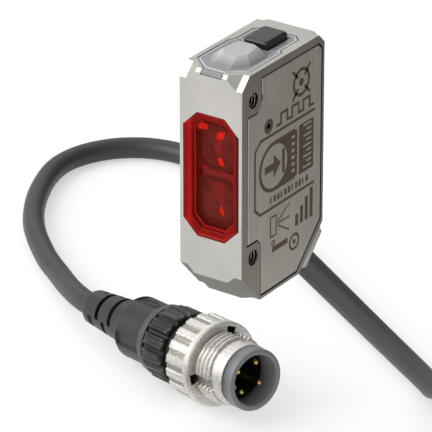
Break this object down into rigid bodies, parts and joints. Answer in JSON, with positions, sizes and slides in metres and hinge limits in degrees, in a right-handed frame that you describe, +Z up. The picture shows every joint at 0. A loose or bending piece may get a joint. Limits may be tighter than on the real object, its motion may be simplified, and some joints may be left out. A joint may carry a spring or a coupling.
{
  "type": "photoelectric sensor",
  "caption": "Slim steel cuboid photoelectric sensor with a front window, domed indicator cover, teach button and a short lead to a round screw plug.",
  "frame": {"origin": "on the left side face of the housing, midway between its two screw holes", "axes": "+Z up along the housing, -Y out of the front window, +X towards the cover plate"},
  "size_m": [0.1156, 0.1263, 0.0878],
  "materials": {
    "steel": "fine blasted stainless steel",
    "cover_steel": "stainless sheet, laser marked",
    "window_red": "clear deep red",
    "clear_cover": "frosted translucent",
    "black_plastic": "matt",
    "rubber": "matt",
    "lens_glass": "polished",
    "board": "solder mask",
    "chip": "matt",
    "gold": "gold plated",
    "nickel": "blasted nickel plate",
    "grey_plastic": "satin",
    "jacket": "matt polyurethane",
    "led_yellow": "moulded",
    "led_green": "moulded",
    "wire_brown": "smooth",
    "wire_white": "smooth",
    "wire_blue": "smooth",
    "wire_black": "smooth"
  },
  "bodies": {
    "sensor": {"main_housing": "steel", "side_cover": "cover_steel", "front_window": "window_red", "window_seal": "rubber", "optics_block": "black_plastic", "emitter_lens": "lens_glass", "receiver_lens": "lens_glass", "laser_diode": "gold", "receiver_chip": "chip", "optics_board": "board", "main_board": "board", "processor_chip": "chip", "wire_terminal": "grey_plastic", "display_board": "board", "output_led": "led_yellow", "power_led": "led_green", "indicator_cover": "clear_cover", "indicator_seal": "rubber", "button_seal": "rubber", "switch_body": "black_plastic", "gland_bush": "rubber", "crimp_ring": "gold", "wire_brown": "wire_brown", "wire_white": "wire_white", "wire_blue": "wire_blue", "wire_black": "wire_black", "lead": "jacket", "plug_body": "jacket", "plug_grip": "black_plastic", "contact_insert": "grey_plastic", "contact_pin_1": "gold", "contact_pin_2": "gold", "contact_pin_3": "gold", "contact_pin_4": "gold"},
    "button": {"teach_button": "black_plastic", "switch_plunger": "grey_plastic"},
    "nut": {"coupling_nut": "nickel"}
  },
  "joints": [
    {"name": "teach_press", "type": "slide", "parent": "sensor", "child": "button", "axis": [0, 0, -1], "range_m": [0, 0.0004], "stiffness_N_per_m": 2500, "springref_m": -0.0004},
    {"name": "nut_spin", "type": "hinge", "parent": "sensor", "child": "nut", "pos_m": [-0.01758, 0.04358, -0.06104], "axis": [0.9528, -0.2908, 0.087], "continuous": true}
  ]
}
